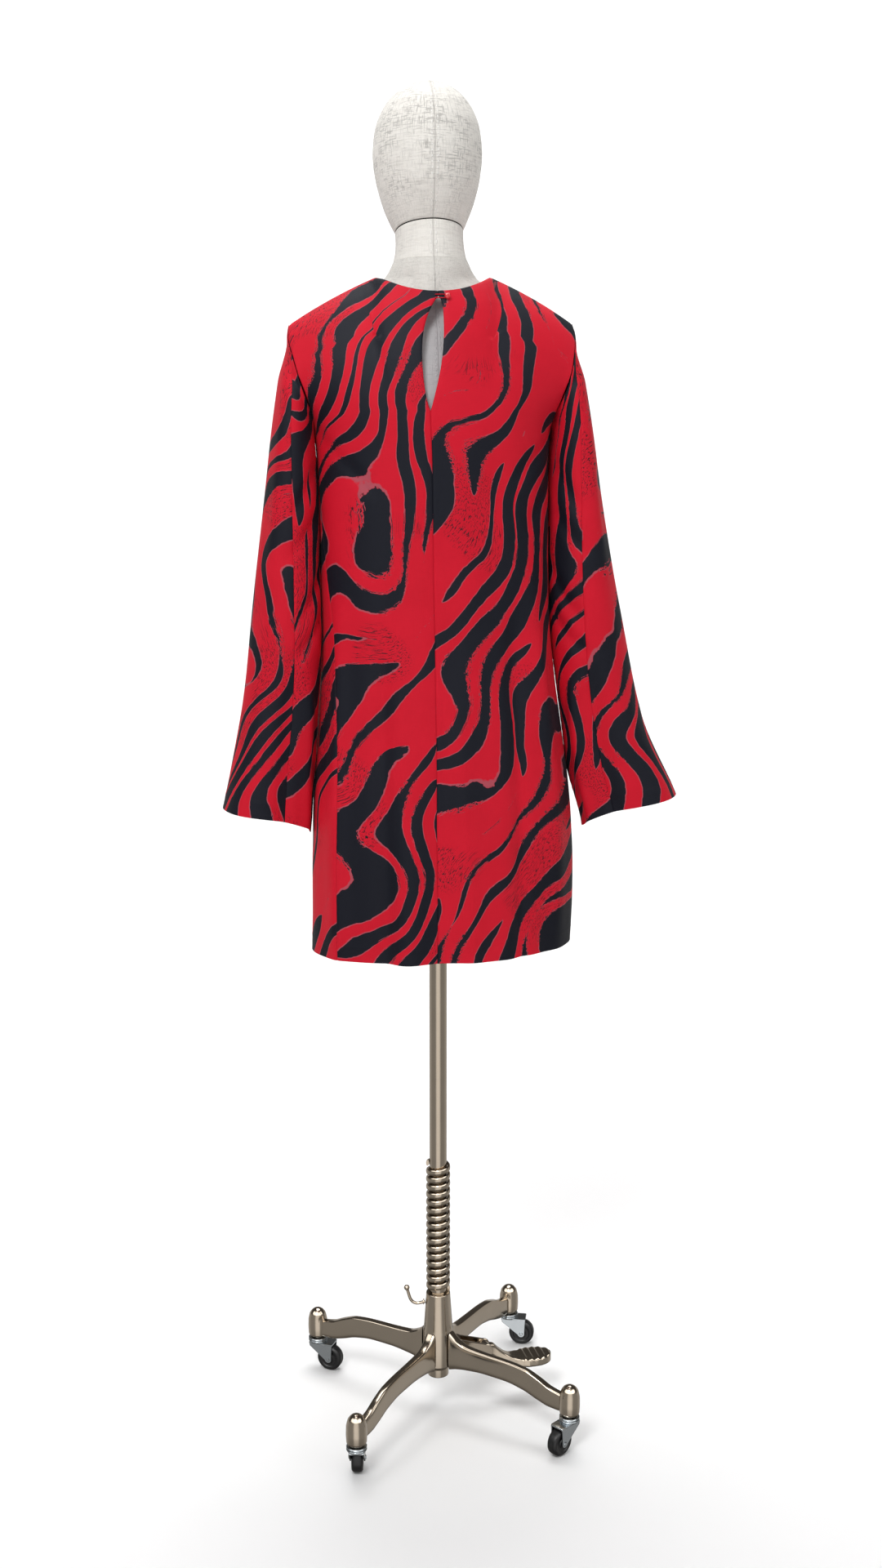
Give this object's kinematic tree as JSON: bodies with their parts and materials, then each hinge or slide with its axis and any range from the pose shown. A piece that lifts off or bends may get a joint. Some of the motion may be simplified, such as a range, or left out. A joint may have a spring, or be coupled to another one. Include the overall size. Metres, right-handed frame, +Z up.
{
  "type": "long-sleeved mini dress on a limbless headed dress form and its wheeled stand",
  "caption": "Mini dress with long flared sleeves, a back keyhole and button loop, shown on a linen dress form with head on a castered pole stand.",
  "frame": {"origin": "on the floor under the middle of the whole object, 19 mm to the right of the pole, which stands at x = -0.019", "axes": "+Z up; +Y the way the front of the dress and form faces before the form is turned a little on its pole; +X the wearer's right"},
  "size_m": [0.606, 0.3886, 1.8],
  "materials": {
    "print_cloth": "matte jersey print",
    "linen": "matte woven",
    "nickel": "polished nickel plate",
    "zinc": "bright zinc plate",
    "black_rubber": "satin black",
    "red_bead": "glossy"
  },
  "bodies": {
    "base": {"hub": "nickel", "leg_1": "nickel", "leg_2": "nickel", "leg_3": "nickel", "leg_4": "nickel", "spring": "nickel", "hook": "nickel", "pedal_bracket": "nickel"},
    "caster_1": {"caster_fork_1": "zinc"},
    "wheel_1": {"wheel_1": "black_rubber"},
    "caster_2": {"caster_fork_2": "zinc"},
    "wheel_2": {"wheel_2": "black_rubber"},
    "caster_3": {"caster_fork_3": "zinc"},
    "wheel_3": {"wheel_3": "black_rubber"},
    "caster_4": {"caster_fork_4": "zinc"},
    "wheel_4": {"wheel_4": "black_rubber"},
    "pedal": {"pedal": "nickel"},
    "inner_column": {"column": "nickel"},
    "form": {"pole": "nickel", "torso": "linen", "neck": "linen", "head": "linen", "front": "print_cloth", "back_left": "print_cloth", "back_right": "print_cloth", "sleeve_top_left": "print_cloth", "sleeve_under_left": "print_cloth", "sleeve_top_right": "print_cloth", "sleeve_under_right": "print_cloth", "button": "red_bead", "button_loop": "print_cloth"}
  },
  "joints": [
    {"name": "caster_swivel_1", "type": "hinge", "parent": "base", "child": "caster_1", "pos_m": [0.16101, -0.10816, 0.05], "axis": [0, 0, 1], "continuous": true},
    {"name": "wheel_roll_1", "type": "hinge", "parent": "caster_1", "child": "wheel_1", "pos_m": [0.14686, -0.1223, 0.019], "axis": [0.7071, -0.7071, 0], "continuous": true},
    {"name": "caster_swivel_2", "type": "hinge", "parent": "base", "child": "caster_2", "pos_m": [0.08916, 0.18, 0.05], "axis": [0, 0, 1], "continuous": true},
    {"name": "wheel_roll_2", "type": "hinge", "parent": "caster_2", "child": "wheel_2", "pos_m": [0.10896, 0.17722, 0.019], "axis": [0.1392, 0.9903, 0], "continuous": true},
    {"name": "caster_swivel_3", "type": "hinge", "parent": "base", "child": "caster_3", "pos_m": [-0.199, 0.10816, 0.05], "axis": [0, 0, 1], "continuous": true},
    {"name": "wheel_roll_3", "type": "hinge", "parent": "caster_3", "child": "wheel_3", "pos_m": [-0.18021, 0.10132, 0.019], "axis": [0.342, 0.9397, 0], "continuous": true},
    {"name": "caster_swivel_4", "type": "hinge", "parent": "base", "child": "caster_4", "pos_m": [-0.12716, -0.18, 0.05], "axis": [0, 0, 1], "continuous": true},
    {"name": "wheel_roll_4", "type": "hinge", "parent": "caster_4", "child": "wheel_4", "pos_m": [-0.12716, -0.16001, 0.019], "axis": [-1, 0, 0], "continuous": true},
    {"name": "pedal_press", "type": "hinge", "parent": "base", "child": "pedal", "pos_m": [0.04698, 0.01645, 0.08], "axis": [-0.2419, 0.9703, 0], "range_deg": [0, 14], "stiffness_Nm_per_rad": 4, "springref_deg": -9.74},
    {"name": "form_turn", "type": "hinge", "parent": "base", "child": "inner_column", "pos_m": [-0.019, 0, 0.3], "axis": [0, 0, 1], "continuous": true},
    {"name": "form_height", "type": "slide", "parent": "inner_column", "child": "form", "axis": [0, 0, 1], "range_m": [0, 0.2]}
  ]
}
